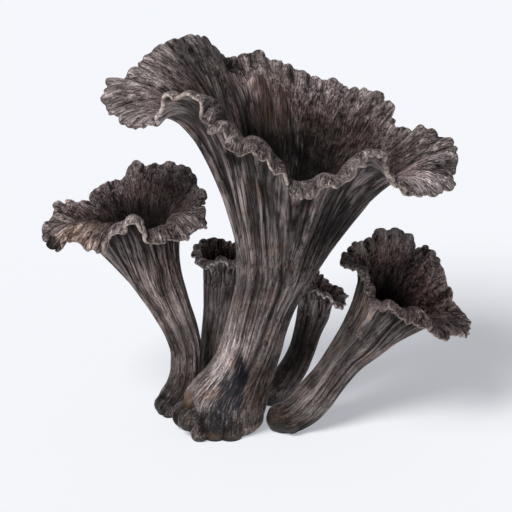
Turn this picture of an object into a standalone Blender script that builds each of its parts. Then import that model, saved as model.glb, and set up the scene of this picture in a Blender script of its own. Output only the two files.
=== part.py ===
"""A clump of five black trumpet mushrooms that grew from one base and stand on their own feet.

Each trumpet is one hollow, thin-walled body: a knobbed foot, a ribbed stem, and a funnel whose
lip turns over and waves. All sizes below are in millimetres, with +Z up, +X to the right and +Y
away from the front. The origin is on the ground under the middle of the large trumpet's foot.
"""

import math
from dataclasses import dataclass

import bmesh
import bpy
import numpy as np

MM = 0.001

# Share of the way from the foot to the rim at which the stem ends and the funnel starts to open.
STEM_SHARE = 0.45
RIM_WALL = 0.9
GROUND = 0.0


@dataclass
class Trumpet:
    """One trumpet. Lengths are in mm, angles in degrees, azimuths counter-clockwise from +X."""

    name: str
    around: int  # points in each ring
    stem_rows: int
    funnel_rows: int
    stem: tuple  # x, y, z and radius of each ring of the stem, from the ground up
    level_to: float  # the stem's rings lie level up to this height, and across the stem above it
    flatness: float  # how much less deep than wide the level rings are, as a share
    mouth: tuple  # x and y of the funnel's axis at the rim
    handle: float  # how long the funnel keeps the stem's way, as a share of the way to the rim
    rim: tuple  # x, y, z, droop angle and lip length, counter-clockwise
    stem_wall: float
    hollow_from: float  # share of the stem's height at which the hollow starts
    waves: tuple  # count round the rim, height and phase of each wave of the lip
    ribs: tuple  # count round the stem, height and phase of each set of ribs
    knobs: tuple  # x, y, z, radius and half height of each knob of the foot, in order: a hollow has radius below 0
    colour: tuple


MAIN = Trumpet(
    name="large_trumpet",
    around=96,
    stem_rows=11,
    funnel_rows=8,
    stem=(
        (0.5, 0.0, 0.0, 8.6),
        (0.4, 0.0, 1.2, 9.8),
        (0.4, 0.0, 3.6, 10.2),
        (0.7, 0.0, 6.2, 10.6),
        (0.9, 0.0, 8.4, 10.8),
        (1.9, 0.0, 11.0, 10.4),
        (3.4, 0.1, 13.6, 9.6),
        (4.9, 0.2, 16.3, 8.8),
        (6.2, 0.3, 19.0, 8.1),
        (7.9, 0.4, 24.0, 7.8),
        (9.4, 0.6, 29.7, 7.8),
        (10.9, 0.8, 35.0, 8.2),
        (12.4, 1.0, 40.0, 9.1),
        (13.2, 1.1, 43.0, 9.9),
    ),
    level_to=16.0,
    flatness=0.12,
    mouth=(15.0, 2.0),
    handle=0.2,
    rim=(
        (58.0, 3.0, 72.0, -15, 14),
        (58.0, 10.0, 72.2, 5, 14),
        (54.5, 14.0, 74.0, 20, 14),
        (51.0, 18.0, 74.5, 30, 14),
        (47.0, 21.0, 73.5, 35, 12),
        (44.3, 24.5, 72.8, 30, 12),
        (43.8, 29.5, 76.8, 32, 12),
        (40.5, 33.0, 78.8, 32, 12),
        (34.5, 35.0, 79.0, 32, 12),
        (28.5, 36.0, 81.5, 32, 12),
        (22.5, 37.0, 82.0, 32, 12),
        (18.0, 37.0, 84.0, 32, 12),
        (14.5, 37.0, 86.0, 32, 12),
        (12.0, 37.0, 86.4, 32, 12),
        (9.0, 37.0, 89.2, 32, 12),
        (5.5, 36.0, 88.0, 32, 12),
        (1.5, 34.0, 88.0, 30, 12),
        (-1.5, 31.0, 89.5, 28, 12),
        (-2.5, 28.0, 92.5, 28, 14),
        (-5.0, 26.0, 95.0, 28, 14),
        (-8.0, 24.0, 96.5, 35, 16),
        (-12.0, 21.5, 96.5, 30, 17),
        (-15.5, 19.0, 96.0, 20, 20),
        (-19.0, 16.0, 93.6, 10, 22),
        (-22.3, 13.0, 91.0, 5, 23),
        (-24.2, 10.5, 86.6, 0, 24),
        (-27.3, 6.5, 88.0, -10, 24),
        (-28.0, 1.0, 89.0, -20, 24),
        (-28.0, -4.0, 88.0, -30, 24),
        (-25.5, -8.0, 86.0, -35, 23),
        (-22.0, -12.0, 85.0, -40, 21),
        (-18.5, -15.0, 85.5, -45, 18),
        (-15.5, -18.0, 88.0, -40, 18),
        (-13.5, -20.0, 92.0, -25, 15),
        (-11.5, -22.0, 95.5, -10, 12),
        (-8.5, -24.0, 96.5, -10, 11),
        (-6.0, -26.0, 96.0, -20, 14),
        (-4.5, -27.5, 92.5, -45, 18),
        (-2.5, -29.0, 88.5, -60, 14),
        (0.5, -30.0, 89.0, -55, 14),
        (4.0, -31.0, 85.0, -65, 14),
        (8.5, -32.0, 85.5, -55, 14),
        (11.5, -33.0, 82.0, -60, 14),
        (15.0, -33.5, 79.5, -65, 14),
        (17.0, -33.5, 75.5, -70, 14),
        (20.5, -33.0, 74.5, -70, 14),
        (24.5, -32.0, 77.0, -60, 11),
        (29.5, -30.0, 77.5, -60, 9),
        (32.5, -27.5, 80.0, -50, 9),
        (35.5, -25.0, 82.5, -35, 9),
        (38.5, -22.0, 79.5, -40, 13),
        (41.0, -19.0, 73.5, -50, 18),
        (45.0, -16.0, 69.5, -55, 18),
        (49.0, -12.0, 67.5, -50, 18),
        (53.5, -8.0, 67.5, -45, 18),
        (57.0, -3.0, 68.0, -35, 18),
    ),
    stem_wall=2.4,
    hollow_from=0.28,
    waves=((39, 0.3, 0.4),),
    ribs=((9, 0.32, 0.3), (16, 0.22, 1.9)),
    knobs=(
        (-11.0, -5.6, 2.6, -5.2, 5.2),
        (-9.8, -1.4, 3.8, 3.3, 3.7),
        (-8.6, -5.6, 4.4, 2.8, 3.2),
        (-12.5, -4.2, 4.6, -1.4, 3.6),
        (-5.8, -8.0, 1.7, 2.4, 2.4),
        (-5.2, -10.4, 5.2, -2.0, 2.8),
        (-1.9, -6.9, 3.6, 3.2, 6.0),
        (2.0, -6.6, 1.2, 3.0, 4.4),
        (6.4, 5.4, 2.4, 3.6, 3.6),
        (-1.5, 7.6, 2.4, 3.6, 3.6),
        (-6.2, 5.2, 2.6, 3.1, 3.2),
    ),
    colour=(0.075, 0.06, 0.053, 1.0),
)

LEFT = Trumpet(
    name="left_trumpet",
    around=60,
    stem_rows=8,
    funnel_rows=7,
    stem=(
        (-14.9, 7.6, 0.0, 2.1),
        (-14.7, 8.0, 1.4, 2.9),
        (-13.7, 8.7, 3.2, 3.4),
        (-11.5, 9.5, 6.2, 3.7),
        (-10.1, 10.0, 9.7, 3.9),
        (-9.7, 10.2, 13.5, 4.1),
        (-9.8, 10.4, 17.0, 4.1),
        (-11.0, 10.6, 22.0, 4.4),
        (-13.2, 10.8, 27.5, 5.0),
        (-15.6, 11.0, 33.0, 5.9),
    ),
    level_to=-20.0,
    flatness=0.0,
    mouth=(-22.5, 10.5),
    handle=0.42,
    rim=(
        (-4.0, 12.0, 56.0, -5, 7),
        (-4.0, 16.0, 58.0, 15, 7),
        (-6.5, 20.0, 58.0, 30, 7),
        (-7.0, 23.0, 60.5, 28, 7),
        (-10.0, 25.0, 62.0, 30, 7),
        (-14.0, 26.5, 62.0, 30, 7),
        (-19.0, 27.0, 61.0, 30, 7),
        (-23.0, 26.0, 62.0, 30, 7),
        (-25.5, 25.0, 58.5, 28, 7),
        (-29.0, 24.0, 58.0, 35, 7),
        (-33.0, 22.0, 57.0, 30, 7),
        (-34.5, 20.0, 54.5, 20, 7),
        (-38.5, 17.0, 54.5, 15, 7),
        (-42.5, 14.0, 55.5, 5, 7),
        (-43.0, 10.5, 53.0, 0, 7),
        (-45.0, 7.0, 52.0, -15, 7),
        (-44.0, 4.0, 49.5, -40, 14),
        (-40.5, 1.5, 47.5, -50, 14),
        (-39.0, 0.5, 50.0, -45, 14),
        (-36.0, -1.0, 50.0, -45, 14),
        (-32.0, -3.0, 49.5, -50, 14),
        (-28.5, -4.5, 50.5, -50, 14),
        (-27.5, -6.0, 54.5, -40, 12),
        (-24.0, -7.0, 56.5, -35, 10),
        (-21.5, -7.5, 58.5, -25, 9),
        (-20.0, -7.5, 57.0, -35, 10),
        (-18.0, -7.0, 53.5, -45, 12),
        (-15.0, -5.5, 54.5, -50, 14),
        (-12.5, -3.5, 52.5, -50, 14),
        (-8.5, -1.0, 52.0, -45, 14),
        (-7.5, 2.0, 53.5, -40, 14),
        (-4.5, 5.0, 53.0, -35, 14),
        (-4.0, 8.5, 55.5, -20, 10),
    ),
    stem_wall=1.6,
    hollow_from=0.35,
    waves=((23, 0.25, 1.1),),
    ribs=((7, 0.26, 0.9), (12, 0.16, 0.1)),
    knobs=(
        (-15.8, 7.2, 2.6, 2.2, 2.4),
        (-14.0, 5.9, 1.6, 1.8, 2.2),
        (-12.2, 6.6, 1.2, 1.5, 1.8),
        (-15.6, 4.6, 2.6, -0.9, 2.0),
    ),
    colour=(0.07, 0.057, 0.05, 1.0),
)

RIGHT = Trumpet(
    name="right_trumpet",
    around=60,
    stem_rows=8,
    funnel_rows=7,
    stem=(
        (11.2, -2.6, 2.9, 0.7),
        (11.8, -2.5, 2.9, 2.2),
        (13.4, -2.3, 3.0, 3.5),
        (16.3, -2.2, 3.5, 4.4),
        (20.0, -1.6, 5.4, 4.9),
        (23.5, -1.0, 9.0, 5.0),
        (27.5, 0.0, 14.0, 4.7),
        (31.6, 1.0, 19.6, 5.3),
        (35.0, 1.6, 23.6, 6.4),
    ),
    level_to=-20.0,
    flatness=0.0,
    mouth=(45.0, 3.0),
    handle=0.36,
    rim=(
        (63.5, 1.0, 27.5, -15, 8),
        (62.0, 5.0, 28.5, 0, 8),
        (59.7, 8.0, 30.0, 20, 8),
        (59.0, 11.0, 32.2, 30, 8),
        (57.0, 14.0, 35.6, 30, 8),
        (55.4, 16.0, 39.6, 32, 8),
        (53.5, 17.5, 42.0, 34, 8),
        (49.5, 18.0, 42.5, 34, 8),
        (47.5, 18.5, 46.0, 34, 8),
        (43.5, 18.5, 46.5, 32, 8),
        (40.5, 18.0, 46.0, 30, 8),
        (37.0, 16.5, 44.2, 35, 7),
        (33.5, 14.0, 44.5, 20, 6),
        (31.0, 11.0, 43.0, 5, 6),
        (30.0, 7.5, 42.5, -20, 8),
        (31.0, 4.0, 42.0, -35, 9),
        (34.0, 0.0, 42.0, -45, 7),
        (35.0, -3.0, 40.5, -55, 6),
        (36.5, -6.0, 39.0, -55, 6),
        (37.5, -8.5, 37.0, -60, 6),
        (39.5, -10.5, 36.0, -60, 7),
        (42.5, -11.5, 36.5, -55, 8),
        (44.5, -12.5, 34.0, -60, 9),
        (47.5, -12.5, 33.0, -60, 10),
        (50.0, -12.0, 33.0, -55, 11),
        (52.0, -10.5, 30.5, -60, 12),
        (55.5, -8.5, 27.5, -60, 12),
        (59.0, -5.5, 27.5, -50, 12),
        (61.5, -3.0, 26.0, -40, 12),
    ),
    stem_wall=1.6,
    hollow_from=0.35,
    waves=((21, 0.25, 2.1),),
    ribs=((7, 0.26, 2.9), (12, 0.16, 1.3)),
    knobs=(
        (14.4, -3.4, 4.3, 2.7, 2.7),
        (17.6, -5.0, 2.6, 2.4, 2.4),
    ),
    colour=(0.068, 0.056, 0.05, 1.0),
)

BACK_LEFT = Trumpet(
    name="back_left_trumpet",
    around=32,
    stem_rows=5,
    funnel_rows=5,
    stem=(
        (-4.0, 15.6, 0.0, 2.6),
        (-3.9, 15.8, 1.6, 3.4),
        (-3.1, 17.0, 8.0, 3.6),
        (-2.2, 18.0, 16.0, 3.8),
        (-1.4, 19.0, 24.0, 3.9),
        (-0.9, 20.0, 31.0, 4.4),
    ),
    level_to=-20.0,
    flatness=0.0,
    mouth=(-0.5, 20.5),
    handle=0.15,
    rim=(
        (6.0, 20.5, 39.5, 0, 3),
        (4.5, 25.0, 39.5, 25, 3),
        (0.0, 27.0, 40.5, 35, 3),
        (-4.0, 26.5, 41.5, 30, 3),
        (-7.0, 24.0, 41.0, 15, 3),
        (-8.0, 20.5, 40.0, -10, 3),
        (-7.0, 16.5, 38.0, -40, 5),
        (-4.0, 14.0, 37.5, -50, 5),
        (-0.5, 13.5, 39.5, -40, 5),
        (3.0, 14.0, 37.5, -50, 5),
        (5.5, 16.5, 38.0, -35, 5),
    ),
    stem_wall=1.2,
    hollow_from=0.4,
    waves=((9, 0.3, 0.5),),
    ribs=((6, 0.2, 0.2),),
    knobs=(),
    colour=(0.05, 0.044, 0.04, 1.0),
)

BACK_RIGHT = Trumpet(
    name="back_right_trumpet",
    around=32,
    stem_rows=5,
    funnel_rows=5,
    stem=(
        (12.4, 14.0, 0.0, 2.6),
        (13.2, 14.2, 1.8, 3.4),
        (16.2, 15.0, 6.0, 3.7),
        (18.9, 16.0, 10.0, 3.6),
        (20.8, 17.0, 14.5, 3.5),
        (22.0, 17.5, 19.0, 3.7),
        (23.3, 18.0, 23.5, 4.4),
    ),
    level_to=-20.0,
    flatness=0.0,
    mouth=(24.5, 18.0),
    handle=0.15,
    rim=(
        (32.0, 17.0, 28.0, -20, 4),
        (31.0, 20.5, 29.0, 5, 3),
        (28.0, 23.5, 30.0, 25, 3),
        (25.0, 25.5, 32.5, 35, 3),
        (21.0, 25.0, 33.5, 30, 3),
        (18.0, 21.5, 34.0, 15, 3),
        (17.0, 17.0, 33.5, -10, 3),
        (19.5, 13.0, 33.0, -30, 4),
        (23.5, 11.0, 32.0, -45, 5),
        (27.0, 11.5, 30.0, -50, 5),
        (30.0, 13.5, 26.5, -50, 5),
    ),
    stem_wall=1.2,
    hollow_from=0.4,
    waves=((9, 0.3, 1.5),),
    ribs=((6, 0.2, 1.2),),
    knobs=(),
    colour=(0.05, 0.044, 0.04, 1.0),
)

TRUMPETS = (MAIN, LEFT, RIGHT, BACK_LEFT, BACK_RIGHT)


def smooth_step(x):
    """0 below 0, 1 above 1, and smooth between."""
    x = np.clip(x, 0.0, 1.0)
    return x * x * (3 - 2 * x)


def unit(v):
    return v / np.maximum(np.linalg.norm(v, axis=-1, keepdims=True), 1e-9)


def spline(knots, values, at):
    """A smooth curve through values at knots, read at each place in at."""
    steps = np.diff(knots)[:, None]
    slopes = np.diff(values, axis=0) / steps
    inner = (slopes[1:] * steps[:-1] + slopes[:-1] * steps[1:]) / (steps[1:] + steps[:-1])
    slopes = np.concatenate([slopes[:1], inner, slopes[-1:]])
    k = np.clip(np.searchsorted(knots, at, side="right") - 1, 0, len(knots) - 2)
    step = steps[k]
    t = ((at - knots[k]) / step[:, 0])[:, None]
    return (
        values[k] * (1 + 2 * t) * (1 - t) ** 2
        + slopes[k] * step * t * (1 - t) ** 2
        + values[k + 1] * t * t * (3 - 2 * t)
        + slopes[k + 1] * step * t * t * (t - 1)
    )


def rim_knots(stations, turn):
    """Where each station stands along the rim, from 0 to 1: half by the rim's length and half by the turn made."""
    loop = np.concatenate([stations, stations[:1]])[:, :3]
    lengths = np.concatenate([[0.0], np.cumsum(np.linalg.norm(np.diff(loop, axis=0), axis=1))])
    turns = np.concatenate([turn, turn[:1] + 2 * math.pi]) - turn[0]
    return 0.5 * lengths / lengths[-1] + 0.5 * turns / turns[-1]


def rim_at(trumpet, u):
    """Place, droop, lip length and azimuth of the rim at each u, which runs from 0 to 1 round the rim."""
    stations = np.array(trumpet.rim, float)
    x, y = (stations[:, :2] - trumpet.mouth).T
    turn = np.unwrap(np.arctan2(y, x))
    knots = rim_knots(stations, turn)
    table = np.column_stack([stations, np.cos(turn), np.sin(turn)])
    ends = 3
    knots = np.concatenate([knots[-ends - 1 : -1] - 1, knots, knots[1 : ends + 1] + 1])
    table = np.concatenate([table[-ends:], table, table[: ends + 1]])
    read = spline(knots, table, u % 1.0)
    return read[:, :3], np.radians(read[:, 3]), read[:, 4], np.arctan2(read[:, 6], read[:, 5])


def knobbed(trumpet, centre, radius, direction):
    """How far the foot reaches that way from the stem's axis, with its knobs added and its hollows cut."""
    for x, y, z, size, height in trumpet.knobs:
        squeeze = np.array([1.0, 1.0, abs(size) / height])
        away, way = (np.array([x, y, z]) - centre) * squeeze, direction * squeeze
        along = np.sum(away * way, axis=1)
        slope = np.sum(way * way, axis=1)
        half = np.sqrt(np.maximum(along**2 - slope * (np.sum(away**2, axis=1) - size**2), 0.0))
        reach = (along + math.copysign(1, size) * half) / slope
        beyond = (reach - radius) * size > 0
        radius = np.where((along > 0) & (half > 0) & beyond, reach, radius)
    return radius


def stem_at(trumpet, azimuth, s):
    """Points of the stem's skin at each azimuth and each share s of its height."""
    stations = np.array(trumpet.stem, float)
    lengths = np.linalg.norm(np.diff(stations[:, :3], axis=0), axis=1)
    knots = np.concatenate([[0.0], np.cumsum(lengths)]) / lengths.sum()
    small = 0.02
    here = spline(knots, stations, s)
    ahead = spline(knots, stations, np.minimum(s + small, 1.0))
    behind = spline(knots, stations, np.maximum(s - small, 0.0))
    level = 1 - smooth_step((here[:, 2:3] - trumpet.level_to) / 14.0)
    axis = unit(unit(ahead[:, :3] - behind[:, :3]) * (1 - level) + level * np.array([0.0, 0.0, 1.0]))
    across = unit(np.array([0.0, 1.0, 0.0]) - axis[:, 1:2] * axis)
    aside = np.cross(across, axis)
    direction = np.cos(azimuth)[:, None] * aside + np.sin(azimuth)[:, None] * across
    radius = here[:, 3] * (1 - trumpet.flatness * level[:, 0] * np.sin(azimuth) ** 2)
    radius = knobbed(trumpet, here[:, :3], radius, direction)
    return here[:, :3] + radius[:, None] * direction


def skin_at(trumpet, u, v):
    """Points of the smooth outer skin: u runs round the rim, v from the foot to the rim."""
    edge, droop, lip, azimuth = rim_at(trumpet, u)
    stem = stem_at(trumpet, azimuth, np.clip(v / STEM_SHARE, 0.0, 1.0))
    top = stem_at(trumpet, azimuth, np.ones_like(v))
    below = stem_at(trumpet, azimuth, np.full_like(v, 0.97))
    rise = unit(top - below)
    outward = np.column_stack([np.cos(azimuth), np.sin(azimuth), np.zeros_like(azimuth)])
    end = np.cos(droop)[:, None] * outward
    end[:, 2] += np.sin(droop)
    reach = np.linalg.norm(edge - top, axis=1, keepdims=True)
    t = np.clip((v - STEM_SHARE) / (1 - STEM_SHARE), 0.0, 1.0)[:, None]
    funnel = (
        (1 - t) ** 3 * top
        + 3 * (1 - t) ** 2 * t * (top + trumpet.handle * reach * rise)
        + 3 * (1 - t) * t**2 * (edge - lip[:, None] * end)
        + t**3 * edge
    )
    return np.where((v < STEM_SHARE)[:, None], stem, funnel)


def grid_normals(grid):
    """Outward normals of a grid of rings, rows from foot to rim, that closes on itself round each ring."""
    around = np.roll(grid, -1, axis=1) - np.roll(grid, 1, axis=1)
    along = np.gradient(grid, axis=0)
    return unit(np.cross(around, along))


def waves_at(waves, u, v, start):
    """Height of a set of waves round the rim, growing from start to the rim."""
    total = np.zeros_like(u)
    for count, height, phase in waves:
        bent = u + 0.35 / count * np.sin(2 * math.pi * 3 * u + phase)
        total += height * np.sin(2 * math.pi * count * bent + phase)
    return total * smooth_step((v - start) / (1 - start)) ** 1.5


def ribs_at(ribs, u, v):
    """Height of the ribs that run up the stem and fade on the lip."""
    total = np.zeros_like(u)
    for count, height, phase in ribs:
        drift = 0.5 * np.sin(2 * math.pi * (2 * u + 0.8 * v) + phase)
        total += height * np.sin(2 * math.pi * count * u + phase + drift)
    return total * smooth_step(v / 0.12) * (1 - 0.85 * smooth_step((v - 0.75) / 0.2))


def row_places(trumpet):
    """v of each ring: the rows close up towards the ground and towards the lip."""
    stem = STEM_SHARE * np.linspace(0.0, 1.0, trumpet.stem_rows, endpoint=False) ** 1.5
    t = np.linspace(0.0, 1.0, trumpet.funnel_rows)
    return np.concatenate([stem, STEM_SHARE + (1 - STEM_SHARE) * (1 - (1 - t) ** 1.25)])


def skins(trumpet):
    """The outer and the inner skin as grids of points, with the row at which the hollow starts."""
    u = np.arange(trumpet.around) / trumpet.around
    v = row_places(trumpet)
    flat_u, flat_v = np.tile(u, len(v)), np.repeat(v, len(u))
    shape = (len(v), len(u))
    grid = skin_at(trumpet, flat_u, flat_v).reshape(*shape, 3)
    normals = grid_normals(grid)
    grid = grid + normals * waves_at(trumpet.waves, flat_u, flat_v, 0.72).reshape(*shape, 1)
    normals = grid_normals(grid)
    share = smooth_step((v - 0.3) / 0.55)
    wall = trumpet.stem_wall * (1 - share) + RIM_WALL * share
    inner = grid - normals * wall[:, None, None]
    outer = grid + normals * ribs_at(trumpet.ribs, flat_u, flat_v).reshape(*shape, 1)
    outer[..., 2] = np.maximum(outer[..., 2], GROUND)
    if trumpet.stem[0][2] == GROUND:
        outer[0, :, 2] = GROUND
    first = int(np.searchsorted(v, trumpet.hollow_from * STEM_SHARE))
    return outer, inner, first


def closed_mesh(name, rings, bottom, pit, turned):
    """A closed mesh from rings in order, with a point that closes each end. turned says which bands are split the
    other way, so that both faces of the wall have the same triangles."""
    around = len(rings[0])
    bm = bmesh.new()
    made = [[bm.verts.new(p * MM) for p in ring] for ring in rings]
    first, last = bm.verts.new(bottom * MM), bm.verts.new(pit * MM)
    for k, (low, high) in enumerate(zip(made, made[1:])):
        for i in range(around):
            j = (i + 1) % around
            if turned[k]:
                bm.faces.new((low[i], low[j], high[i]))
                bm.faces.new((low[j], high[j], high[i]))
            else:
                bm.faces.new((low[i], low[j], high[j]))
                bm.faces.new((low[i], high[j], high[i]))
    for i in range(around):
        j = (i + 1) % around
        bm.faces.new((first, made[0][j], made[0][i]))
        bm.faces.new((last, made[-1][i], made[-1][j]))
    mesh = bpy.data.meshes.new(name)
    bm.to_mesh(mesh)
    bm.free()
    mesh.shade_smooth()
    return mesh


def material_of(trumpet):
    material = bpy.data.materials.new(trumpet.name)
    material.use_nodes = True
    shader = material.node_tree.nodes["Principled BSDF"]
    shader.inputs["Base Color"].default_value = trumpet.colour
    shader.inputs["Roughness"].default_value = 0.8
    return material


def build(trumpet, collection):
    outer, inner, first = skins(trumpet)
    hollow = list(inner[first:][::-1])
    rings = [*outer, *hollow]
    turned = [k >= len(outer) for k in range(len(rings) - 1)]
    bottom = outer[0].mean(axis=0)
    bottom[2] = outer[0][:, 2].min()
    pit = hollow[-1].mean(axis=0)
    mesh = closed_mesh(trumpet.name, rings, bottom, pit, turned)
    made = bpy.data.objects.new(trumpet.name, mesh)
    made.data.materials.append(material_of(trumpet))
    collection.objects.link(made)
    return made


def main():
    for old in list(bpy.data.objects):
        bpy.data.objects.remove(old)
    clump = bpy.data.collections.new("black_trumpet_mushroom")
    bpy.context.scene.collection.children.link(clump)
    for trumpet in TRUMPETS:
        build(trumpet, clump)


main()
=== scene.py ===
"""The looks of a clump of black trumpet mushrooms: fine meshes that stand for the five solid trumpets, with
their ruffled lips, ridged stems and scaly insides, their materials, and a plain studio round them.

Lengths are in millimetres up to the point where a mesh is made. +Z is up, +X is to the right and +Y is away
from the camera.
"""

import math
from dataclasses import dataclass

import bpy
import numpy as np
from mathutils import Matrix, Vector

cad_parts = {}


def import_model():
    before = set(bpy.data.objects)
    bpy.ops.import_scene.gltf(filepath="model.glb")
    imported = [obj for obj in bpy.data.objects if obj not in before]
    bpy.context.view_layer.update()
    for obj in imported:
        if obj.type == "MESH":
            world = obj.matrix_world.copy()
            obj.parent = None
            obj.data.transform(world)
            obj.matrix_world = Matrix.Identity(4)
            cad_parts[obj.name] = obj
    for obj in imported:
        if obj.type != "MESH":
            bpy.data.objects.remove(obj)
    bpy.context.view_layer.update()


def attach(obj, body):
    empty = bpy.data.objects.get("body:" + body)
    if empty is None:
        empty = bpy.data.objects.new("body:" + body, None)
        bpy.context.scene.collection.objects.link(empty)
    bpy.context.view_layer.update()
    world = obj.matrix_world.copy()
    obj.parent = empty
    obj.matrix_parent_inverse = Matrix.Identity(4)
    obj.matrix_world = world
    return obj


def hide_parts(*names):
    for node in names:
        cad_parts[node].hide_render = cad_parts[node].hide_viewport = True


MM = 0.001

# Share of the way from the foot to the rim at which the stem ends and the funnel starts to open.
STEM_SHARE = 0.45
# From here to the rim the mesh has twice as many points round it.
LIP_SHARE = 0.84
# The wall's thickness where the stem's wall has thinned out towards the rim.
RIM_WALL = 0.62
# The wall swells by this share of the stem's wall in a bead along the rim.
RIM_BEAD = 0.2
# The bead starts at this share of the way to the rim.
BEAD_FROM = 0.955
# The rim is drawn back by this, so that its lobes reach about as far as its smooth line.
RIM_DRAWN_BACK = 0.45
# The folds of the inside fade out over this last share of the way to the rim.
FOLD_FADE = 0.02
GROUND = 0.0
# The outer and the inner skin are joined by this many rings that round the rim off.
EDGE_RINGS = 3

GROOVE_COLOUR = (0.022, 0.018, 0.017)
THIN_CRACK_COLOUR = (0.026, 0.021, 0.020)
# Painted shade in the grooves between the widest ridges of the outside.
GROOVE_SHADE_COLOUR = (0.018, 0.014, 0.014)
LIP_CRACK_COLOUR = (0.024, 0.018, 0.017)
# Painted shade that darkens the inside down into the throat.
THROAT_SHADE_COLOUR = (0.005, 0.004, 0.004)
# Painted shade in the creases and hollows of the skin.
CREASE_SHADE_COLOUR = (0.008, 0.006, 0.006)
EDGE_COLOUR = (0.60, 0.485, 0.42)
BUMP_DISTANCE = 2.0

# The studio: strengths as Blender has them, and the sun's width in degrees.
WORLD_STRENGTH = 0.2
FLOOR_GLOW = 0.38
SUN_STRENGTH = 3.2
SUN_WIDTH = 28


@dataclass
class Trumpet:
    """One trumpet. Lengths are in mm, angles in degrees, azimuths counter-clockwise from +X."""

    name: str
    around: int  # points in each ring of the lip
    stem_rows: int
    funnel_rows: int
    stem: tuple  # x, y, z and radius of each ring of the stem, from the ground up
    level_to: float  # the stem's rings lie level up to this height, and across the stem above it
    flatness: float  # how much less deep than wide the level rings are, as a share
    mouth: tuple  # x and y of the funnel's axis at the rim
    handle: float  # how long the funnel keeps the stem's way, as a share of the way to the rim
    rim: tuple  # x, y, z, droop angle and lip length, counter-clockwise
    stem_wall: float
    hollow_from: float  # share of the stem's height at which the hollow starts
    waves: tuple  # count round the rim, height, and where each wave of the lip starts
    scallops: tuple  # count round the rim and depth of each set of notches in the rim
    ridges: tuple  # count round the stem, count along it, height, and where each set of ridges is in full
    knobs: tuple  # x, y, z, radius and half height of each knob of the foot: a hollow has a radius below 0
    stains: tuple  # centre, radii, colour and strength of each stain, and of the painted shade where the stem meets the ground
    painted_light_shade_and_tone: tuple  # centre, radii and gain in red, green and blue of each place of painted light or shade, and of the feet's darker brown
    pale_from: float  # the rim's edge is pale only to the right of this x
    seed: int


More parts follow.
